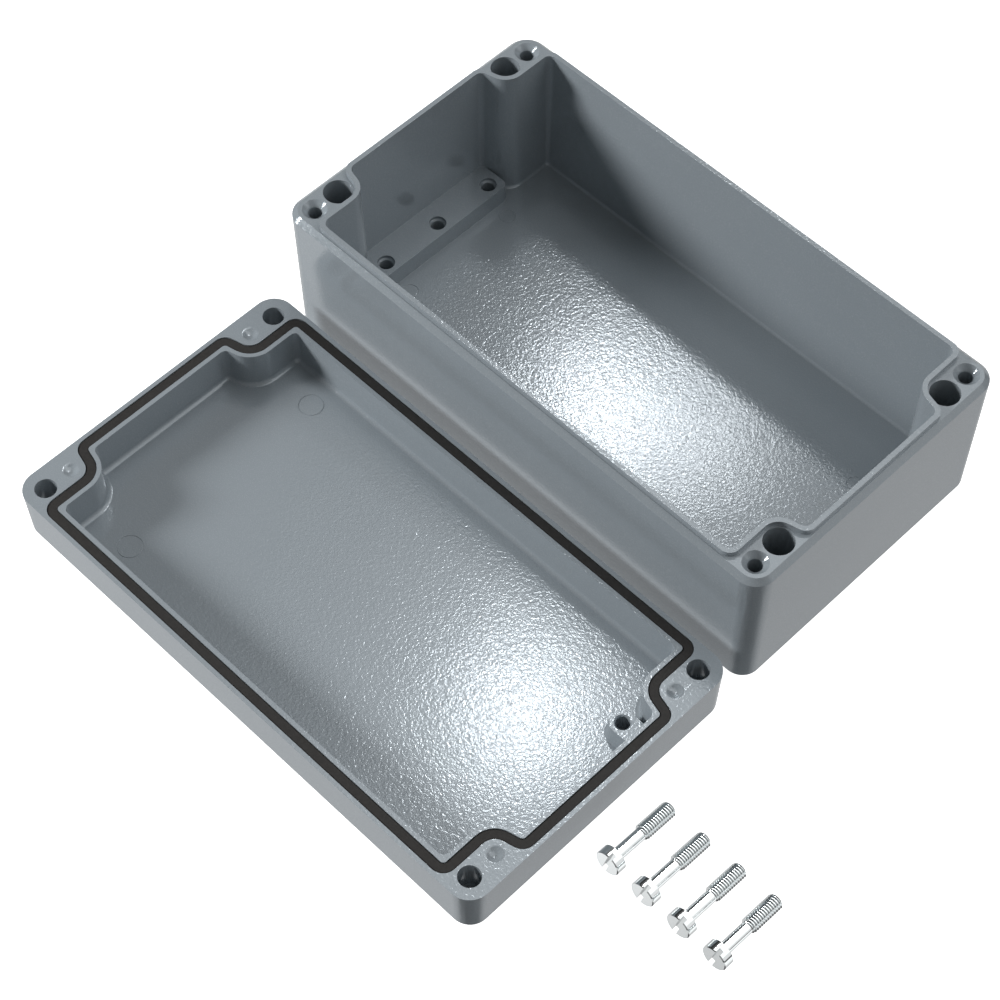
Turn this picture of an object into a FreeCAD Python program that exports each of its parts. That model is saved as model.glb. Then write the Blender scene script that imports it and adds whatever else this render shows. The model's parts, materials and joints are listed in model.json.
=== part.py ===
import FreeCAD, Part
import math
import os

# Die cast aluminium enclosure shown open: base with its interior up, lid beside it with its inside up
# and the gasket in its groove, and the four lid screws lying in front. Millimetres, +Z up.
# The origin is the centre of the base's underside.

Vec = FreeCAD.Vector
UP = Vec(0, 0, 1)
EPS = 1.0

# Outline shared by base and lid at the parting level
BODY_L = 220.0
BODY_W = 120.0
BODY_CORNER_R = 8.0

# Base heights
BASE_LEDGE_Z = 59.6
EDGE_CHAMFER = 2.0
TONGUE_H = 2.2
BASE_FLOOR_T = 5.0
BASE_DRAFT = 1.1
BASE_FOOT_R = 0.8
CAVITY_DRAFT = 1.5
CAVITY_FLOOR_R = 1.2

# Fixing passages through the base, reached with the lid off
FIX_END_INSET = 8.0
FIX_SIDE_INSET = 19.0
FIX_BORE_D = 10.6
FIX_HOLE_D = 7.0
FIX_SEAT_Z = 7.0

# Lid screw holes
LID_SCREW_INSET = 8.0
TAP_D = 5.0
TAP_SINK_D = 9.0
TAP_DEPTH = 24.0

# Sealing line: the closed line along which the base's tongue meets the gasket in the lid
SEAL_INSET = 3.4
SEAL_CORNER_R = 3.2
SEAL_FIX_GAP = 1.6
SEAL_SLANT = 14.0
TONGUE_T = 1.8
GROOVE_W = 3.7
GROOVE_DEPTH = 3.4
GASKET_SIDE_GAP = 0.1
GASKET_SUNK = 0.2
LIP_T = 1.6
FLOOR_R_MARGIN = 0.3

# Mounting pads along the short walls inside the base
PAD_H = 8.0
PAD_HOLE_END_INSET = 14.0
PAD_HOLE_MARGIN = 5.5
PAD_HOLE_D = 5.0
PAD_HOLE_DEPTH = 9.5
PAD_SINK_D = 6.4
PAD_SINK_DEPTH = 1.2
PAD_REACH = 5.0
PAD_BOSS_GAP = 2.6
PAD_CORNER_R = 2.5
PAD_DRAFT = 1.0

# Lid
LID_H = 20.4
LID_FLOOR_T = 5.0
LID_DRAFT = 2.4
LID_EDGE_R = 1.1
LID_FLOOR_R = 1.8
LID_GAP = 7.0
LID_HOLE_D = 7.8
HEAD_RECESS_D = 10.8
HEAD_RECESS_DEPTH = 5.0
COLLAR_D = 5.0
COLLAR_T = 3.0
DIMPLE_D = 6.5
DIMPLE_DEPTH = 1.7

# Earth terminal post inside the lid
EARTH_END_INSET = 15.0
EARTH_FIX_GAP = 16.6
EARTH_D = 8.8
EARTH_H = 6.6
EARTH_DRAFT = 12.0
POST_ROUNDING = 0.95
EARTH_HOLE_D = 5.0
EARTH_HOLE_DEPTH = 8.0
EARTH_SINK = 0.5

# Round ejector marks on the floors
MARK_GROOVE = 0.4
MARK_DEPTH = 0.15
MARK_D = 6.4
WIDE_MARK_D = 9.4
BASE_MARK_END_INSET = 25.0
BASE_MARK_SIDE_INSET = 35.0
WIDE_MARK_END_INSET = 37.2
WIDE_MARK_SIDE_INSET = 18.0
LID_MARK_END_INSET = 13.6
LID_MARK_Y = 9.0

# Lid screws: slotted cheese head, waisted shank, threaded end
SCREW_HEAD_D = 9.5
SCREW_HEAD_H = 3.9
SCREW_HEAD_EDGE = 0.3
SCREW_REACH = 25.8
SCREW_NECK_D = 4.4
SCREW_THREAD_L = 13.4
SCREW_THREAD_D = 5.9
SCREW_TIP = 0.8
SLOT_W = 1.6
SLOT_DEPTH = 2.0
SLOT_ROLL = 11.5
SCREW_COUNT = 4
SCREW_END_GAP = 14.1
SCREW_PITCH_X = 15.2
SCREW_SIDE_SHIFT = 9.4

# Derived
HALF_L = BODY_L / 2
HALF_W = BODY_W / 2
SEAL_X = HALF_L - SEAL_INSET
SEAL_Y = HALF_W - SEAL_INSET
FIX_X = HALF_L - FIX_END_INSET
FIX_Y = HALF_W - FIX_SIDE_INSET
LID_SCREW_X = HALF_L - LID_SCREW_INSET
LID_SCREW_Y = HALF_W - LID_SCREW_INSET
BOSS_R = FIX_BORE_D / 2 + SEAL_FIX_GAP
PAD_HOLE_X = HALF_L - PAD_HOLE_END_INSET
PAD_HALF_W = FIX_Y - BOSS_R - PAD_BOSS_GAP
PAD_HOLE_PITCH = PAD_HALF_W - PAD_HOLE_MARGIN
EARTH_X = HALF_L - EARTH_END_INSET
EARTH_Y = FIX_Y - EARTH_FIX_GAP
LID_Y = -(BODY_W + LID_GAP)
BASE_MARK_X = HALF_L - BASE_MARK_END_INSET
BASE_MARK_Y = HALF_W - BASE_MARK_SIDE_INSET
WIDE_MARK_X = HALF_L - WIDE_MARK_END_INSET
WIDE_MARK_Y = HALF_W - WIDE_MARK_SIDE_INSET
TONGUE_TOP_Z = BASE_LEDGE_Z + TONGUE_H
GASKET_W = GROOVE_W - 2 * GASKET_SIDE_GAP
GROOVE_FLOOR_Z = LID_H - GROOVE_DEPTH
LID_CAVITY_OFFSET = -(GROOVE_W / 2 + LIP_T)


def slope(height, degrees):
    return height * math.tan(math.radians(degrees))


def arc_at(prev, corner, nxt):
    """Start, middle, end and centre of the rounding of one corner (x, y, radius)."""
    p = Vec(corner[0], corner[1], 0)
    to_prev = (Vec(prev[0], prev[1], 0) - p).normalize()
    to_next = (Vec(nxt[0], nxt[1], 0) - p).normalize()
    half = to_prev.getAngle(to_next) / 2
    reach = corner[2] / math.tan(half)
    centre = p + (to_prev + to_next).normalize() * (corner[2] / math.sin(half))
    middle = centre + (p - centre).normalize() * corner[2]
    return p + to_prev * reach, middle, p + to_next * reach, centre


def arcs_of(corners, z):
    count = len(corners)
    arcs = [arc_at(corners[i - 1], corners[i], corners[(i + 1) % count]) for i in range(count)]
    return [[point + UP * z for point in arc] for arc in arcs]


def rounded_face(corners, z):
    arcs = arcs_of(corners, z)
    edges = []
    for arc, following in zip(arcs, arcs[1:] + arcs[:1]):
        edges.append(Part.Arc(*arc[:3]).toShape())
        edges.append(Part.makeLine(arc[2], following[0]))
    return Part.Face(Part.Wire(edges))


def tapered(low_corners, high_corners, z_low, z_high):
    """Solid between two outlines whose roundings share their centres: flat sides and conical corners."""
    low = arcs_of(low_corners, z_low)
    high = arcs_of(high_corners, z_high)
    faces = [rounded_face(low_corners, z_low), rounded_face(high_corners, z_high)]
    for i in range(len(low)):
        start, middle, end, centre = low[i]
        turn = math.degrees((start - centre).getAngle(end - centre))
        if (start - centre).cross(end - centre).z < 0:
            turn = -turn
        faces.append(Part.makeLine(start, high[i][0]).revolve(centre, UP, turn))
        after = (i + 1) % len(low)
        side = [end, low[after][0], high[after][0], high[i][2], end]
        faces.append(Part.Face(Part.makePolygon(side)))
    shell = Part.Shell(faces)
    shell.sewShape()
    return Part.Solid(shell.reversed())


def rectangle(x_low, x_high, y_low, y_high, radius):
    places = [(x_high, y_low), (x_high, y_high), (x_low, y_high), (x_low, y_low)]
    return [(x, y, radius) for x, y in places]


def body_outline(inset):
    half_x = HALF_L - inset
    half_y = HALF_W - inset
    return rectangle(-half_x, half_x, -half_y, half_y, BODY_CORNER_R - inset)


def seal_outline(offset, corner_r):
    """Corners of the sealing line moved outward by offset, notched round the four fixing bosses."""
    dist = BOSS_R - offset
    slant = math.radians(SEAL_SLANT)
    notch_x = FIX_X - dist
    start_x = FIX_X - dist * math.sin(slant)
    start_y = FIX_Y - dist * math.cos(slant)
    edge_x = SEAL_X + offset
    quarter = [
        (edge_x, start_y - (edge_x - start_x) * math.tan(slant), corner_r),
        (notch_x, start_y - (notch_x - start_x) * math.tan(slant), dist),
        (notch_x, SEAL_Y + offset, corner_r),
    ]
    back = quarter[::-1]
    corners = list(quarter)
    corners += [(-x, y, r) for x, y, r in back]
    corners += [(-x, -y, r) for x, y, r in quarter]
    corners += [(x, -y, r) for x, y, r in back]
    return corners


def seal_prism(offset, z, height):
    return rounded_face(seal_outline(offset, SEAL_CORNER_R + offset), z).extrude(UP * height)


def seal_band(width, z, height):
    """Closed band along the sealing line."""
    return seal_prism(width / 2, z, height).cut(seal_prism(-width / 2, z, height))


def edges_at(solid, z):
    return [e for e in solid.Edges if abs(e.BoundBox.ZMin - z) < 1e-4 and abs(e.BoundBox.ZMax - z) < 1e-4]


def cavity(top_offset, floor_z, top_z, floor_r):
    """Drafted hollow along the sealing line, rounded where it meets the floor."""
    low_offset = top_offset - slope(top_z - floor_z, CAVITY_DRAFT)
    high_offset = top_offset + slope(EPS, CAVITY_DRAFT)
    low_r = floor_r + FLOOR_R_MARGIN
    high_r = low_r + high_offset - low_offset
    hollow = tapered(seal_outline(low_offset, low_r), seal_outline(high_offset, high_r),
                     floor_z, top_z + EPS)
    return hollow.makeFillet(floor_r, edges_at(hollow, floor_z))


def drill(x, y, z_low, z_high, diameter):
    return Part.makeCylinder(diameter / 2, z_high - z_low, Vec(x, y, z_low))


def sink(x, y, z, top_d, bottom_d, depth):
    return Part.makeCone(bottom_d / 2, top_d / 2, depth, Vec(x, y, z - depth))


def four(x, y):
    return [(sx * x, sy * y) for sx in (-1, 1) for sy in (-1, 1)]


def marks(places, z, diameter):
    """Shallow round grooves of the ejector pins."""
    rings = []
    for x, y in places:
        outer = drill(x, y, z - MARK_DEPTH, z + EPS, diameter)
        rings.append(outer.cut(drill(x, y, z - MARK_DEPTH, z + EPS, diameter - 2 * MARK_GROOVE)))
    return rings


def pad(side):
    """Raised pad between the two bosses at one short wall, its outer end inside the wall."""
    foot_z = BASE_FLOOR_T - EPS / 2
    top_z = BASE_FLOOR_T + PAD_H
    spread = slope(top_z - foot_z, PAD_DRAFT)
    inner_x = PAD_HOLE_X - PAD_REACH
    top = rectangle(inner_x, SEAL_X, -PAD_HALF_W, PAD_HALF_W, PAD_CORNER_R)
    foot_w = PAD_HALF_W + spread
    foot = rectangle(inner_x - spread, SEAL_X + spread, -foot_w, foot_w, PAD_CORNER_R + spread)
    block = tapered(foot, top, foot_z, top_z)
    if side < 0:
        block.rotate(Vec(0, 0, 0), UP, 180)
    return block


def pad_holes():
    top = BASE_FLOOR_T + PAD_H
    cuts = []
    for x in (-PAD_HOLE_X, PAD_HOLE_X):
        for row in (-1, 0, 1):
            y = row * PAD_HOLE_PITCH
            cuts.append(drill(x, y, top - PAD_HOLE_DEPTH, top + EPS, PAD_HOLE_D))
            cuts.append(drill(x, y, top - PAD_SINK_DEPTH, top + EPS, PAD_SINK_D))
            step = (PAD_SINK_D - PAD_HOLE_D) / 2
            cuts.append(sink(x, y, top - PAD_SINK_DEPTH, PAD_SINK_D, PAD_HOLE_D, step))
    return cuts


def base_holes():
    cuts = []
    for x, y in four(FIX_X, FIX_Y):
        cuts.append(drill(x, y, FIX_SEAT_Z, TONGUE_TOP_Z + EPS, FIX_BORE_D))
        cuts.append(drill(x, y, -EPS, FIX_SEAT_Z + EPS, FIX_HOLE_D))
    for x, y in four(LID_SCREW_X, LID_SCREW_Y):
        cuts.append(drill(x, y, BASE_LEDGE_Z - TAP_DEPTH, BASE_LEDGE_Z + EPS, TAP_D))
        cuts.append(sink(x, y, BASE_LEDGE_Z, TAP_SINK_D, TAP_D, (TAP_SINK_D - TAP_D) / 2))
    return cuts


def base():
    wall_top = BASE_LEDGE_Z - EDGE_CHAMFER
    walls = tapered(body_outline(slope(wall_top, BASE_DRAFT)), body_outline(0), 0, wall_top)
    walls = walls.makeFillet(BASE_FOOT_R, edges_at(walls, 0))
    rim = tapered(body_outline(0), body_outline(EDGE_CHAMFER), wall_top, BASE_LEDGE_Z)
    tongue = seal_prism(TONGUE_T / 2, wall_top, TONGUE_TOP_Z - wall_top)
    body = walls.fuse([rim, tongue]).removeSplitter()
    hollow = cavity(-TONGUE_T / 2, BASE_FLOOR_T, TONGUE_TOP_Z, CAVITY_FLOOR_R)
    body = body.cut(hollow.cut([pad(side) for side in (-1, 1)]))
    floor_marks = marks(four(BASE_MARK_X, BASE_MARK_Y), BASE_FLOOR_T, MARK_D)
    return body.cut(base_holes() + pad_holes() + floor_marks)


def earth_post():
    """Drafted post, round towards the middle and tied to the short wall."""
    foot_z = LID_FLOOR_T - EPS / 2
    top_z = LID_FLOOR_T + EARTH_H
    spread = slope(top_z - foot_z, EARTH_DRAFT)
    half = EARTH_D / 2
    radius = POST_ROUNDING * half
    top = rectangle(EARTH_X - half, SEAL_X, EARTH_Y - half, EARTH_Y + half, radius)
    foot = rectangle(EARTH_X - half - spread, SEAL_X + spread,
                     EARTH_Y - half - spread, EARTH_Y + half + spread, radius + spread)
    return tapered(foot, top, foot_z, top_z)


def lid_holes():
    cuts = []
    collar_z = HEAD_RECESS_DEPTH + COLLAR_T
    for x, y in four(LID_SCREW_X, LID_SCREW_Y):
        cuts.append(drill(x, y, collar_z, LID_H + EPS, LID_HOLE_D))
        cuts.append(drill(x, y, 0, LID_H, COLLAR_D))
        cuts.append(drill(x, y, -EPS, HEAD_RECESS_DEPTH, HEAD_RECESS_D))
    for x, y in four(FIX_X, FIX_Y):
        cuts.append(Part.makeCone(0, DIMPLE_D / 2, DIMPLE_DEPTH, Vec(x, y, LID_H - DIMPLE_DEPTH)))
    top = LID_FLOOR_T + EARTH_H
    cuts.append(drill(EARTH_X, EARTH_Y, top - EARTH_HOLE_DEPTH, top + EPS, EARTH_HOLE_D))
    cuts.append(sink(EARTH_X, EARTH_Y, top, EARTH_HOLE_D + 2 * EARTH_SINK, EARTH_HOLE_D, EARTH_SINK))
    return cuts


def lid():
    body = tapered(body_outline(slope(LID_H, LID_DRAFT)), body_outline(0), 0, LID_H)
    body = body.makeFillet(LID_EDGE_R, edges_at(body, 0))
    hollow = cavity(LID_CAVITY_OFFSET, LID_FLOOR_T, LID_H, LID_FLOOR_R)
    body = body.cut(hollow.cut(earth_post()))
    groove = seal_band(GROOVE_W, GROOVE_FLOOR_Z, GROOVE_DEPTH + EPS)
    wide_places = [(-WIDE_MARK_X, WIDE_MARK_Y), (-WIDE_MARK_X, -WIDE_MARK_Y)]
    floor_marks = marks(wide_places, LID_FLOOR_T, WIDE_MARK_D)
    floor_marks += marks([(HALF_L - LID_MARK_END_INSET, LID_MARK_Y)], LID_FLOOR_T, MARK_D)
    body = body.cut([groove] + lid_holes() + floor_marks)
    body.translate(Vec(0, LID_Y, 0))
    return body


def lid_gasket():
    ring = seal_band(GASKET_W, GROOVE_FLOOR_Z, GROOVE_DEPTH - GASKET_SUNK)
    ring.translate(Vec(0, LID_Y, 0))
    return ring


def screw(x):
    """Screw lying on the floor on the rim of its head and the end of its thread, head towards -Y."""
    head_r = SCREW_HEAD_D / 2
    neck_r = SCREW_NECK_D / 2
    thread_r = SCREW_THREAD_D / 2
    thread_start = SCREW_REACH - SCREW_THREAD_L
    flank = thread_r - neck_r
    profile = [(0, -SCREW_HEAD_H), (head_r - SCREW_HEAD_EDGE, -SCREW_HEAD_H),
               (head_r, -SCREW_HEAD_H + SCREW_HEAD_EDGE), (head_r, 0), (neck_r, 0),
               (neck_r, thread_start - flank), (thread_r, thread_start),
               (thread_r, SCREW_REACH - SCREW_TIP), (thread_r - SCREW_TIP, SCREW_REACH), (0, SCREW_REACH)]
    wire = Part.makePolygon([Vec(r, 0, s) for r, s in profile + profile[:1]])
    body = Part.Face(wire).revolve(Vec(0, 0, 0), UP, 360)
    slot = Part.makeBox(SCREW_HEAD_D + 2 * EPS, SLOT_W, SLOT_DEPTH + EPS,
                        Vec(-head_r - EPS, -SLOT_W / 2, -SCREW_HEAD_H - EPS))
    slot.rotate(Vec(0, 0, 0), UP, 90 + SLOT_ROLL)
    body = body.cut(slot)
    tilt = math.degrees(math.atan2(head_r - thread_r, SCREW_REACH - SCREW_TIP))
    body.rotate(Vec(0, 0, 0), Vec(1, 0, 0), -90 - tilt)
    body.translate(Vec(x, LID_Y - SCREW_SIDE_SHIFT, head_r * math.cos(math.radians(tilt))))
    return body


nodes = {"box_base": base(), "lid": lid(), "lid_gasket": lid_gasket()}
for number in range(SCREW_COUNT):
    nodes["lid_screw_%d" % (number + 1)] = screw(HALF_L + SCREW_END_GAP + number * SCREW_PITCH_X)

os.makedirs("parts", exist_ok=True)
for name, shape in nodes.items():
    solid = shape.Solids[0]
    solid.exportStep("parts/%s.step" % name)
    print(name, len(shape.Solids), solid.isValid(), round(solid.Volume / 1000, 2), "cm3")
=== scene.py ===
import json
import math

import bpy
from mathutils import Matrix, Vector

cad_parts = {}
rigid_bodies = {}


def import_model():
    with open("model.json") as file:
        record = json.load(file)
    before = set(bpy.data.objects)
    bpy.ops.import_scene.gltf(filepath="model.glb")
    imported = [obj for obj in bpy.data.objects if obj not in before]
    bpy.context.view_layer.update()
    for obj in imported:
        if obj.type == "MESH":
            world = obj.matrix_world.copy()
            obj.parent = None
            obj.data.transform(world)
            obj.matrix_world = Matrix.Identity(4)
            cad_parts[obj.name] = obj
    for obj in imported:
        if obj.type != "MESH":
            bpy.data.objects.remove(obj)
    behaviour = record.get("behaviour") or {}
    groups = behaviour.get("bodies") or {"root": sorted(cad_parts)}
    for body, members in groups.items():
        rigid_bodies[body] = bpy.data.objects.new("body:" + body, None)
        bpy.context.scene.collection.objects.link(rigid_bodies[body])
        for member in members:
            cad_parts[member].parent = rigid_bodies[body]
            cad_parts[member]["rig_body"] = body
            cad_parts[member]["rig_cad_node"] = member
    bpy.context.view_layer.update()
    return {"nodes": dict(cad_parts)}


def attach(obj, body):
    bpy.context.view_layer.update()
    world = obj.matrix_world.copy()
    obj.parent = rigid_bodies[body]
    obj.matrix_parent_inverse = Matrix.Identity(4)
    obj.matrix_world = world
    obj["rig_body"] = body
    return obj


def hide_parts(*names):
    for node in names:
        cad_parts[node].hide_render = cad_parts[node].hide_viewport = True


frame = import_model()
mm = 0.001


# Helpers used by every piece

def deselectAll():
    bpy.ops.object.select_all(action="DESELECT")


def pick(obj):
    deselectAll()
    obj.select_set(True)
    bpy.context.view_layer.objects.active = obj


def applyModifier(obj, kind, **values):
    pick(obj)
    modifier = obj.modifiers.new(kind.lower(), kind)
    for name, value in values.items():
        setattr(modifier, name, value)
    bpy.ops.object.modifier_apply(modifier=modifier.name)


def setMaterial(obj, material):
    obj.data.materials.clear()
    obj.data.materials.append(material)


def smoothFaces(obj, foldAngle):
    pick(obj)
    bpy.ops.object.shade_smooth_by_angle(angle=math.radians(foldAngle))
    applyModifier(obj, "WEIGHTED_NORMAL", weight=100, keep_sharp=True)


def standIn(obj, nodeName):
    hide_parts(nodeName)
    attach(obj, "root")


def softCopy(nodeName, newName, edges):
    # the solid as measured, with every sharp edge rounded over
    source = frame["nodes"][nodeName]
    piece = source.copy()
    piece.data = source.data.copy()
    piece.name = newName
    piece.parent = None
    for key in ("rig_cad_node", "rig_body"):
        if key in piece:
            del piece[key]
    bpy.context.scene.collection.objects.link(piece)
    pick(piece)
    bpy.ops.object.mode_set(mode="EDIT")
    bpy.ops.mesh.select_all(action="SELECT")
    bpy.ops.mesh.remove_doubles(threshold=edges["mergeGap"] * mm)
    bpy.ops.mesh.dissolve_limited(angle_limit=math.radians(edges["flatAngle"]))
    bpy.ops.object.mode_set(mode="OBJECT")
    applyModifier(piece, "BEVEL", width=edges["softness"] * mm, segments=edges["steps"],
                  limit_method="ANGLE", angle_limit=math.radians(edges["foldAngle"]),
                  harden_normals=False, use_clamp_overlap=True)
    smoothFaces(piece, edges["smoothAngle"])
    standIn(piece, nodeName)
    return piece


def turned(name, profile, sides):
    # a solid turned about Z: a disc drawn out and widened ring by ring
    firstRadius, firstHeight = profile[0]
    bpy.ops.mesh.primitive_circle_add(vertices=sides, radius=firstRadius * mm, fill_type="NGON",
                                      location=(0, 0, firstHeight * mm))
    piece = bpy.context.active_object
    piece.name = name
    bpy.ops.object.transform_apply(location=True, rotation=True, scale=True)
    bpy.ops.object.mode_set(mode="EDIT")
    bpy.ops.mesh.select_all(action="SELECT")
    radius, height = firstRadius, firstHeight
    for nextRadius, nextHeight in profile[1:]:
        rise = (nextHeight - height) * mm
        bpy.ops.mesh.extrude_region_move(TRANSFORM_OT_translate={"value": (0, 0, rise)})
        ratio = nextRadius / radius
        bpy.ops.transform.resize(value=(ratio, ratio, 1), center_override=(0, 0, nextHeight * mm))
        radius, height = nextRadius, nextHeight
    bpy.ops.mesh.select_all(action="SELECT")
    bpy.ops.mesh.normals_make_consistent(inside=False)
    bpy.ops.object.mode_set(mode="OBJECT")
    return piece


def cutWith(obj, tool, operation):
    applyModifier(obj, "BOOLEAN", object=tool, operation=operation, solver="EXACT")
    pick(tool)
    bpy.ops.object.delete()


# Effects shared by the materials

def newGroup(name, inputs, outputs):
    group = bpy.data.node_groups.new(name, "ShaderNodeTree")
    for label, value in inputs:
        socket = group.interface.new_socket(name=label, in_out="INPUT", socket_type="NodeSocketFloat")
        socket.default_value = value
    for label in outputs:
        group.interface.new_socket(name=label, in_out="OUTPUT", socket_type="NodeSocketFloat")
    start = group.nodes.new("NodeGroupInput")
    end = group.nodes.new("NodeGroupOutput")
    return group, start, end


def addNoise(group, coords, detail, distortion):
    noise = group.nodes.new("ShaderNodeTexNoise")
    noise.inputs["Detail"].default_value = detail
    noise.inputs["Distortion"].default_value = distortion
    group.links.new(coords.outputs["Object"], noise.inputs["Vector"])
    return noise


peelPattern = {
    "detail": 1.0,
    "distortion": 0.6,
    "patchScale": 30.0,
    "patchDetail": 3.0,
}


def makePeelGroup(values):
    # the rounded ripple of a sprayed coat, and slow changes from place to place
    inputs = [("Scale", 500.0), ("Roundness", 0.5)]
    group, start, end = newGroup("orangePeel", inputs, ["Height", "Mask"])
    coords = group.nodes.new("ShaderNodeTexCoord")
    ripple = addNoise(group, coords, values["detail"], values["distortion"])
    group.links.new(start.outputs["Scale"], ripple.inputs["Scale"])
    group.links.new(start.outputs["Roundness"], ripple.inputs["Roughness"])
    patches = addNoise(group, coords, values["patchDetail"], 0.0)
    patches.inputs["Scale"].default_value = values["patchScale"]
    group.links.new(ripple.outputs["Fac"], end.inputs["Height"])
    group.links.new(patches.outputs["Fac"], end.inputs["Mask"])
    return group


speckPattern = {
    "detail": 1.0,
    "fadeStart": 0.52,
    "fadeEnd": 0.70,
}


def makeSpeckGroup(values):
    # small lighter grains scattered through a coat
    group, start, end = newGroup("grainSpecks", [("Scale", 2500.0), ("Amount", 0.3)], ["Mask"])
    coords = group.nodes.new("ShaderNodeTexCoord")
    grains = addNoise(group, coords, values["detail"], 0.0)
    group.links.new(start.outputs["Scale"], grains.inputs["Scale"])
    fade = group.nodes.new("ShaderNodeMapRange")
    fade.inputs["From Min"].default_value = values["fadeStart"]
    fade.inputs["From Max"].default_value = values["fadeEnd"]
    group.links.new(grains.outputs["Fac"], fade.inputs["Value"])
    group.links.new(start.outputs["Amount"], fade.inputs["To Max"])
    group.links.new(fade.outputs["Result"], end.inputs["Mask"])
    return group


peelGroup = makePeelGroup(peelPattern)
speckGroup = makeSpeckGroup(speckPattern)
print("shared effects ready")


# Materials

def newMaterial(name):
    material = bpy.data.materials.new(name)
    material.use_nodes = True
    return material, material.node_tree, material.node_tree.nodes["Principled BSDF"]


def addGroup(tree, group, **values):
    node = tree.nodes.new("ShaderNodeGroup")
    node.node_tree = group
    for name, value in values.items():
        node.inputs[name].default_value = value
    return node


def mixTones(tree, factor, first, second):
    tone = tree.nodes.new("ShaderNodeMix")
    tone.data_type = "RGBA"
    tree.links.new(factor, tone.inputs["Factor"])
    for value, name in ((first, "A"), (second, "B")):
        if isinstance(value, tuple):
            tone.inputs[name].default_value = value
        else:
            tree.links.new(value, tone.inputs[name])
    return tone.outputs["Result"]


def addBump(tree, shader, height, depth, distance):
    bump = tree.nodes.new("ShaderNodeBump")
    bump.inputs["Strength"].default_value = depth
    bump.inputs["Distance"].default_value = distance
    tree.links.new(height, bump.inputs["Height"])
    tree.links.new(bump.outputs["Normal"], shader.inputs["Normal"])


castingCoat = {
    "darkTone": (0.300, 0.340, 0.370, 1),
    "lightTone": (0.325, 0.365, 0.395, 1),
    "speckTone": (0.50, 0.53, 0.55, 1),
    "metal": 0.2,
    "gloss": 0.13,
    "peelScale": 900.0,
    "peelDepth": 0.152,
    "peelHeight": 0.3,
    "speckScale": 2600.0,
    "speckAmount": 0.25,
}


def makeCastingCoat(values):
    material, tree, shader = newMaterial("greyPowderCoat")
    peel = addGroup(tree, peelGroup, Scale=values["peelScale"])
    specks = addGroup(tree, speckGroup, Scale=values["speckScale"], Amount=values["speckAmount"])
    addBump(tree, shader, peel.outputs["Height"], values["peelDepth"], values["peelHeight"] * mm)
    body = mixTones(tree, peel.outputs["Mask"], values["darkTone"], values["lightTone"])
    tone = mixTones(tree, specks.outputs["Mask"], body, values["speckTone"])
    tree.links.new(tone, shader.inputs["Base Color"])
    shader.inputs["Metallic"].default_value = values["metal"]
    shader.inputs["Roughness"].default_value = values["gloss"]
    return material


gasketFinish = {
    "darkTone": (0.012, 0.011, 0.010, 1),
    "lightTone": (0.030, 0.028, 0.026, 1),
    "gloss": 0.6,
    "grain": 900.0,
    "grainDepth": 0.3,
    "grainHeight": 0.1,
}


def makeGasketRubber(values):
    material, tree, shader = newMaterial("blackSealRubber")
    peel = addGroup(tree, peelGroup, Scale=values["grain"])
    tone = mixTones(tree, peel.outputs["Height"], values["darkTone"], values["lightTone"])
    tree.links.new(tone, shader.inputs["Base Color"])
    addBump(tree, shader, peel.outputs["Height"], values["grainDepth"], values["grainHeight"] * mm)
    shader.inputs["Roughness"].default_value = values["gloss"]
    return material


screwFinish = {
    "tone": (0.92, 0.945, 0.95, 1),
    "dullTone": (0.82, 0.86, 0.87, 1),
    "lowGloss": 0.05,
    "highGloss": 0.14,
    "grain": 700.0,
}


def makePlatedSteel(values):
    material, tree, shader = newMaterial("platedSteel")
    peel = addGroup(tree, peelGroup, Scale=values["grain"])
    roughness = tree.nodes.new("ShaderNodeMapRange")
    roughness.inputs["To Min"].default_value = values["lowGloss"]
    roughness.inputs["To Max"].default_value = values["highGloss"]
    tree.links.new(peel.outputs["Height"], roughness.inputs["Value"])
    tree.links.new(roughness.outputs["Result"], shader.inputs["Roughness"])
    tone = mixTones(tree, peel.outputs["Mask"], values["tone"], values["dullTone"])
    tree.links.new(tone, shader.inputs["Base Color"])
    shader.inputs["Metallic"].default_value = 1.0
    return material


coatMaterial = makeCastingCoat(castingCoat)
rubberMaterial = makeGasketRubber(gasketFinish)
steelMaterial = makePlatedSteel(screwFinish)
print("materials ready")


# The two castings and the seal

castingEdges = {
    "softness": 0.28,
    "steps": 2,
    "foldAngle": 38,
    "smoothAngle": 40,
    "mergeGap": 0.002,
    "flatAngle": 0.6,
}

for nodeName, newName in (("box_base", "baseCasting"), ("lid", "lidCasting")):
    casting = softCopy(nodeName, newName, castingEdges)
    setMaterial(casting, coatMaterial)
    print(newName, len(casting.data.polygons), "faces")

sealEdges = {
    "softness": 0.5,
    "steps": 4,
    "foldAngle": 38,
    "smoothAngle": 40,
    "mergeGap": 0.002,
    "flatAngle": 0.6,
}

sealRing = softCopy("lid_gasket", "sealRing", sealEdges)
setMaterial(sealRing, rubberMaterial)
print("sealRing", len(sealRing.data.polygons), "faces")


# The four captive screws: one is modelled, the rest are its copies

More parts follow.
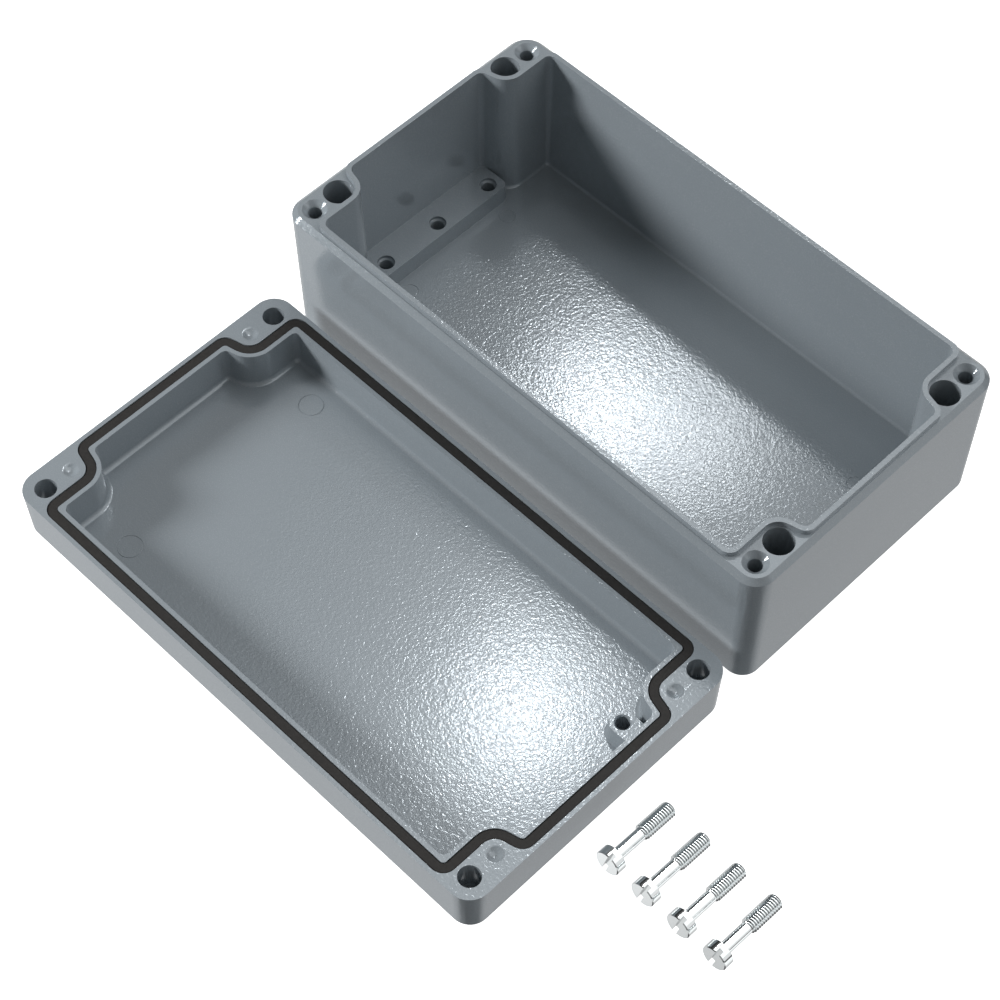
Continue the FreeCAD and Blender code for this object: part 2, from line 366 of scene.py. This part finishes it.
screwShape = {
    "body": [(4.45, -3.9), (4.75, -3.6), (4.75, 0.0), (2.2, 0.0), (2.2, 24.9), (1.9, 25.7)],
    "envelope": [(2.05, 11.5), (2.95, 12.6), (2.95, 25.0), (2.12, 25.8)],
    "sides": 48,
    "slotWidth": 1.6,
    "slotDepth": 2.0,
    "slotTurn": 101.5,
    "edgeSoftness": 0.12,
    "edgeSteps": 3,
    "edgeFoldAngle": 50,
    "smoothAngle": 35,
    "mergeGap": 0.001,
    "pitch": 1.0,
    "threadStart": 11.0,
    "turns": 16,
    "ridgeRoot": 2.0,
    "ridgeCrest": 3.05,
    "ridgeFoot": 0.96,
    "ridgeTop": 0.06,
}
screwRow = {
    "first": (124.1, -136.4),
    "step": 15.2,
    "headRadius": 4.75,
    "threadRadius": 2.95,
    "restLength": 25.0,
}


def cutSlot(body, values):
    headBack = values["body"][0][1]
    headRadius = values["body"][1][0]
    bpy.ops.mesh.primitive_cube_add(size=1, location=(0, 0, headBack * mm))
    slot = bpy.context.active_object
    slot.scale = (4 * headRadius * mm, values["slotWidth"] * mm, 2 * values["slotDepth"] * mm)
    slot.rotation_euler = (0, 0, math.radians(values["slotTurn"]))
    bpy.ops.object.transform_apply(location=True, rotation=True, scale=True)
    cutWith(body, slot, "DIFFERENCE")


def makeThread(values):
    # a trapezoid ridge wound up the shank, trimmed by the turned outline of the threaded length
    bpy.ops.mesh.primitive_plane_add(size=1, rotation=(math.radians(90), 0, 0))
    ridge = bpy.context.active_object
    depth = values["ridgeCrest"] - values["ridgeRoot"]
    middle = (values["ridgeRoot"] + depth / 2) * mm
    ridge.scale = (depth * mm, values["ridgeFoot"] * mm, 1)
    ridge.location = (middle, 0, values["threadStart"] * mm)
    bpy.ops.object.transform_apply(location=True, rotation=True, scale=True)
    points = ridge.data.vertices
    for face in ridge.data.polygons:
        face.select = False
    for edge in ridge.data.edges:
        edge.select = all(points[index].co.x > middle for index in edge.vertices)
    for point in points:
        point.select = point.co.x > middle
    bpy.ops.object.mode_set(mode="EDIT")
    ratio = values["ridgeTop"] / values["ridgeFoot"]
    bpy.ops.transform.resize(value=(1, 1, ratio), center_override=(0, 0, values["threadStart"] * mm))
    bpy.ops.mesh.select_all(action="SELECT")
    bpy.ops.mesh.delete(type="ONLY_FACE")
    bpy.ops.object.mode_set(mode="OBJECT")
    applyModifier(ridge, "SCREW", angle=math.radians(360), screw_offset=values["pitch"] * mm,
                  iterations=values["turns"], steps=values["sides"], render_steps=values["sides"],
                  use_merge_vertices=False, axis="Z", use_normal_calculate=True)
    pick(ridge)
    bpy.ops.object.mode_set(mode="EDIT")
    bpy.ops.mesh.select_all(action="SELECT")
    bpy.ops.mesh.remove_doubles(threshold=values["mergeGap"] * mm)
    bpy.ops.mesh.select_all(action="DESELECT")
    bpy.ops.mesh.select_non_manifold(extend=False, use_wire=False, use_boundary=True,
                                     use_multi_face=False, use_non_contiguous=False, use_verts=False)
    bpy.ops.mesh.edge_face_add()
    bpy.ops.mesh.select_all(action="SELECT")
    bpy.ops.mesh.normals_make_consistent(inside=False)
    bpy.ops.object.mode_set(mode="OBJECT")
    cutWith(ridge, turned("threadEnvelope", values["envelope"], values["sides"]), "INTERSECT")
    return ridge


def makeScrew(values):
    body = turned("screwBody", values["body"], values["sides"])
    cutSlot(body, values)
    applyModifier(body, "BEVEL", width=values["edgeSoftness"] * mm, segments=values["edgeSteps"],
                  limit_method="ANGLE", angle_limit=math.radians(values["edgeFoldAngle"]),
                  use_clamp_overlap=True)
    cutWith(body, makeThread(values), "UNION")
    pick(body)
    bpy.ops.object.mode_set(mode="EDIT")
    bpy.ops.mesh.select_all(action="SELECT")
    bpy.ops.mesh.remove_doubles(threshold=values["mergeGap"] * mm)
    bpy.ops.mesh.normals_make_consistent(inside=False)
    bpy.ops.object.mode_set(mode="OBJECT")
    return body


def layDown(screw, number, row):
    # head and thread both touch the ground, so the screw slopes down toward its tip
    slope = math.atan2(row["headRadius"] - row["threadRadius"], row["restLength"])
    screw.rotation_euler = (math.radians(-90) - slope, 0, 0)
    screw.location = ((row["first"][0] + number * row["step"]) * mm, row["first"][1] * mm,
                      row["headRadius"] * math.cos(slope) * mm)
    pick(screw)
    bpy.ops.object.transform_apply(location=True, rotation=True, scale=True)


masterScrew = makeScrew(screwShape)
for number in range(4):
    screw = masterScrew.copy()
    screw.data = masterScrew.data.copy()
    screw.name = "captiveScrew%d" % (number + 1)
    bpy.context.scene.collection.objects.link(screw)
    layDown(screw, number, screwRow)
    smoothFaces(screw, screwShape["smoothAngle"])
    standIn(screw, "lid_screw_%d" % (number + 1))
    setMaterial(screw, steelMaterial)
print("screws", len(masterScrew.data.polygons), "faces each")
pick(masterScrew)
bpy.ops.object.delete()


# Studio

studio = {
    "floorSize": 40.0,
    "floorTone": (0.9, 0.9, 0.9, 1),
    "floorRoughness": 0.9,
    "floorGlow": 1.0,
    "groundStrength": 0.62,
    "gapShare": 0.08,
    "skyStrength": 0.02,
    "gapHeights": (-0.21, -0.18, -0.03, -0.005),
    "glows": {
        "upper": {"azimuth": 92, "elevation": 66, "inner": 14, "outer": 28, "share": 1.15},
        "cameraSide": {"azimuth": -45, "elevation": 30, "inner": 15, "outer": 65, "share": 0.21},
        "rightSide": {"azimuth": 45, "elevation": 30, "inner": 15, "outer": 65, "share": 0.36},
        "softbox": {"azimuth": 42, "elevation": 42, "inner": 17, "outer": 23, "share": 0.8},
        "lowBox": {"azimuth": 27, "elevation": 12, "inner": 9, "outer": 15, "share": 0.45},
        "crownSide": {"azimuth": 135, "elevation": 30, "inner": 15, "outer": 65, "share": 0.22},
        "whiteFloor": {"azimuth": 22, "elevation": -28, "inner": 8, "outer": 22, "share": 0.45},
        "leftFloor": {"azimuth": -128, "elevation": -49, "inner": 6, "outer": 12, "share": 0.5},
    },
    "shades": {
        "front": {"azimuth": -42, "elevation": -60, "inner": 13, "outer": 32, "share": 0.90},
        "back": {"azimuth": 165, "elevation": 8, "inner": 26, "outer": 42, "share": 0.85},
    },
    "lamps": {
        "baseSpot": {"place": (-0.474, 0.521, 1.0), "aim": (0.001, -0.016, 0.005), "size": (0.08, 0.08),
                     "power": 0.43},
        "sideSpot": {"place": (-0.395, 0.563, 1.0), "aim": (0.035, 0.001, 0.005), "size": (0.08, 0.08),
                     "power": 0.18},
        "lidSpot": {"place": (-0.318, 0.280, 1.0), "aim": (0.068, -0.121, 0.005), "size": (0.08, 0.08),
                    "power": 0.355},
        "leftKey": {"place": (-0.986, -0.952, 0.58), "aim": (0.0, 0.0, 0.0), "size": (0.42, 0.42),
                    "power": 14.2, "mirrored": False},
        "leftGlint": {"place": (-0.986, -0.952, 0.61), "aim": (0.0, 0.0, 0.0), "size": (0.35, 0.35),
                      "power": 6.5},
    },
}


def direction(azimuth, elevation):
    turn = math.radians(azimuth)
    rise = math.radians(elevation)
    return Vector((math.cos(rise) * math.cos(turn), math.cos(rise) * math.sin(turn), math.sin(rise)))


def addLamp(name, values):
    data = bpy.data.lights.new(name, "AREA")
    data.shape = "ELLIPSE"
    data.size, data.size_y = values["size"]
    data.energy = values["power"]
    lamp = bpy.data.objects.new(name, data)
    bpy.context.scene.collection.objects.link(lamp)
    place = Vector(values["place"])
    lamp.location = place
    lamp.rotation_euler = (Vector(values["aim"]) - place).to_track_quat("-Z", "Y").to_euler()
    lamp.visible_glossy = values.get("mirrored", True)


def addLobe(tree, coords, values, outside, inside):
    # a round region of the sky, from the value inside it to the one outside
    dot = tree.nodes.new("ShaderNodeVectorMath")
    dot.operation = "DOT_PRODUCT"
    tree.links.new(coords.outputs["Generated"], dot.inputs[0])
    dot.inputs[1].default_value = direction(values["azimuth"], values["elevation"])
    fade = tree.nodes.new("ShaderNodeMapRange")
    fade.interpolation_type = "SMOOTHSTEP"
    fade.inputs["From Min"].default_value = math.cos(math.radians(values["outer"]))
    fade.inputs["From Max"].default_value = math.cos(math.radians(values["inner"]))
    fade.inputs["To Min"].default_value = outside
    fade.inputs["To Max"].default_value = inside
    tree.links.new(dot.outputs["Value"], fade.inputs["Value"])
    return fade.outputs["Result"]


def combine(tree, operation, first, second):
    node = tree.nodes.new("ShaderNodeMath")
    node.operation = operation
    tree.links.new(first, node.inputs[0])
    tree.links.new(second, node.inputs[1])
    return node.outputs["Value"]


def addRamp(tree, height, stops):
    # a level for each height of the sky, from straight down at -1 to straight up at 1
    ramp = tree.nodes.new("ShaderNodeValToRGB")
    tree.links.new(height.outputs["Result"], ramp.inputs["Fac"])
    first, last = ramp.color_ramp.elements
    first.color = (stops[0][1],) * 3 + (1,)
    last.color = (stops[-1][1],) * 3 + (1,)
    for z, level in stops:
        ramp.color_ramp.elements.new((z + 1) / 2).color = (level, level, level, 1)
    return ramp.outputs["Color"]


def makeSky(values):
    world = bpy.data.worlds.new("studioSky")
    bpy.context.scene.world = world
    world.use_nodes = True
    tree = world.node_tree
    coords = tree.nodes.new("ShaderNodeTexCoord")
    split = tree.nodes.new("ShaderNodeSeparateXYZ")
    tree.links.new(coords.outputs["Generated"], split.inputs["Vector"])
    height = tree.nodes.new("ShaderNodeMapRange")
    height.inputs["From Min"].default_value = -1.0
    tree.links.new(split.outputs["Z"], height.inputs["Value"])
    low, start, end, high = values["gapHeights"]
    ground, sky = values["groundStrength"], values["skyStrength"]
    strength = addRamp(tree, height, [(low, ground), (high, sky)])
    share = values["gapShare"]
    gap = addRamp(tree, height, [(low, 1.0), (start, share), (end, share), (high, 1.0)])
    for glow in values["glows"].values():
        strength = combine(tree, "ADD", strength, addLobe(tree, coords, glow, 0.0, glow["share"]))
    for shade in values["shades"].values():
        shadow = addLobe(tree, coords, shade, 1.0, 1.0 - shade["share"])
        strength = combine(tree, "MULTIPLY", strength, shadow)
    strength = combine(tree, "MULTIPLY", strength, gap)
    tree.links.new(strength, tree.nodes["Background"].inputs["Strength"])
    tree.nodes["Background"].inputs["Color"].default_value = (1, 1, 1, 1)


def makeFloor(values):
    bpy.ops.mesh.primitive_plane_add(size=values["floorSize"], location=(0, 0, 0))
    floor = bpy.context.active_object
    floor.name = "studioFloor"
    material, tree, shader = newMaterial("whiteFloor")
    shader.inputs["Base Color"].default_value = values["floorTone"]
    shader.inputs["Roughness"].default_value = values["floorRoughness"]
    shader.inputs["Emission Color"].default_value = (1, 1, 1, 1)
    shader.inputs["Emission Strength"].default_value = values["floorGlow"]
    floor.data.materials.append(material)
    floor.visible_glossy = False
    floor.visible_diffuse = False
    floor.visible_shadow = False


makeFloor(studio)
makeSky(studio)
for lampName, lampValues in studio["lamps"].items():
    addLamp(lampName, lampValues)
bpy.context.scene.view_settings.view_transform = "Standard"


# Camera

viewpoint = {
    "place": (0.361217, -0.425027, 0.762661),
    "right": (0.707193, 0.70702, 0.000007),
    "up": (-0.587557, 0.587695, 0.556229),
    "lens": 95.34,
    "sensor": 36.0,
    "reach": 50.0,
}


def makeCamera(values):
    data = bpy.data.cameras.new("studioCamera")
    data.lens = values["lens"]
    data.sensor_width = values["sensor"]
    data.clip_end = values["reach"]
    camera = bpy.data.objects.new("studioCamera", data)
    bpy.context.scene.collection.objects.link(camera)
    right = Vector(values["right"])
    up = Vector(values["up"])
    back = right.cross(up)
    turn = Matrix((right, up, back)).transposed().to_4x4()
    camera.matrix_world = Matrix.Translation(values["place"]) @ turn
    bpy.context.scene.camera = camera


makeCamera(viewpoint)
print("camera and studio ready")
